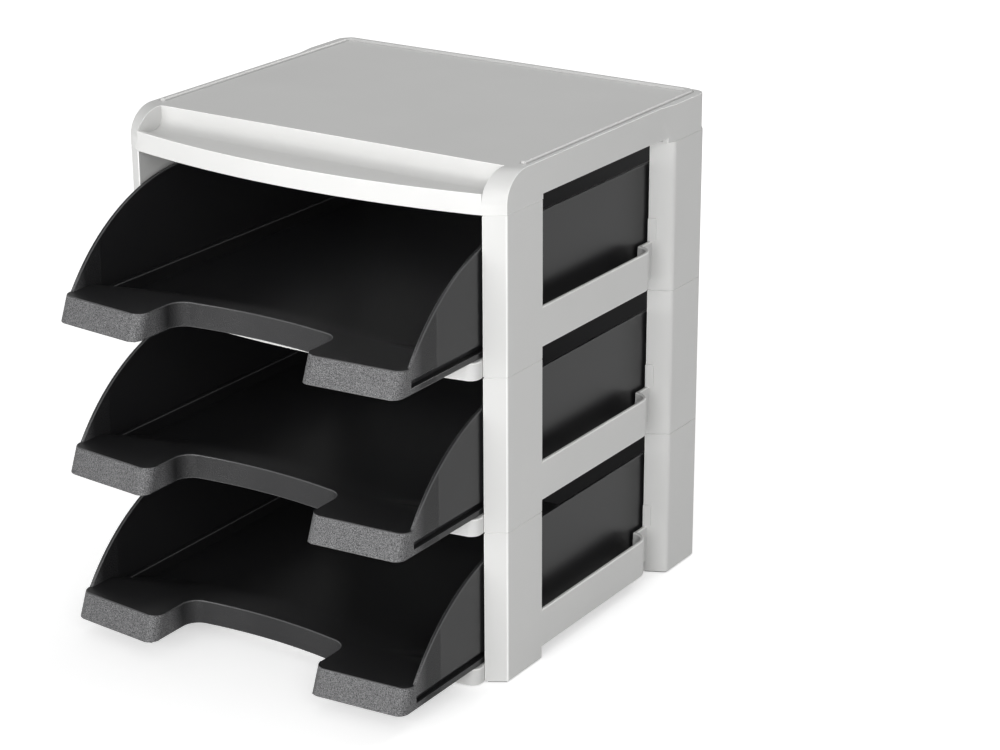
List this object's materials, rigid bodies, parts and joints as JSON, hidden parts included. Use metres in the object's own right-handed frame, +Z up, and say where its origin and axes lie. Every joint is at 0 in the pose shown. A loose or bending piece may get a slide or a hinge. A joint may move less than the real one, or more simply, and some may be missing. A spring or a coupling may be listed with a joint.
{
  "type": "letter tray stack with drawers",
  "caption": "Desk stack of sliding letter trays with finger notches, held by plug-together side frames under a cap with a pen trough.",
  "frame": {"origin": "on the desk, under the middle of the stack with its trays closed", "axes": "+X to the right seen from the front, +Y to the back, +Z up; the trays pull out along -Y"},
  "size_m": [0.287, 0.3276, 0.3248],
  "materials": {
    "frame_plastic": "satin light grey moulded plastic",
    "cap_plastic": "satin light grey moulded plastic with a finely grained top plate",
    "tray_plastic": "satin black moulded plastic, grained on the front hump",
    "foot_rubber": "soft matt rubber"
  },
  "bodies": {
    "housing": {"lower_left_side_frame": "frame_plastic", "lower_right_side_frame": "frame_plastic", "lower_front_crossbar": "frame_plastic", "lower_rear_panel": "frame_plastic", "middle_left_side_frame": "frame_plastic", "middle_right_side_frame": "frame_plastic", "middle_front_crossbar": "frame_plastic", "middle_rear_panel": "frame_plastic", "upper_left_side_frame": "frame_plastic", "upper_right_side_frame": "frame_plastic", "upper_front_crossbar": "frame_plastic", "upper_rear_panel": "frame_plastic", "cap": "cap_plastic", "front_left_foot": "foot_rubber", "front_right_foot": "foot_rubber", "rear_left_foot": "foot_rubber", "rear_right_foot": "foot_rubber"},
    "lower_tray": {"lower_tray": "tray_plastic"},
    "middle_tray": {"middle_tray": "tray_plastic"},
    "upper_tray": {"upper_tray": "tray_plastic"}
  },
  "joints": [
    {"name": "lower_tray_slide", "type": "slide", "parent": "housing", "child": "lower_tray", "axis": [0, -1, 0], "range_m": [0, 0.17]},
    {"name": "middle_tray_slide", "type": "slide", "parent": "housing", "child": "middle_tray", "axis": [0, -1, 0], "range_m": [0, 0.17]},
    {"name": "upper_tray_slide", "type": "slide", "parent": "housing", "child": "upper_tray", "axis": [0, -1, 0], "range_m": [0, 0.17]}
  ]
}
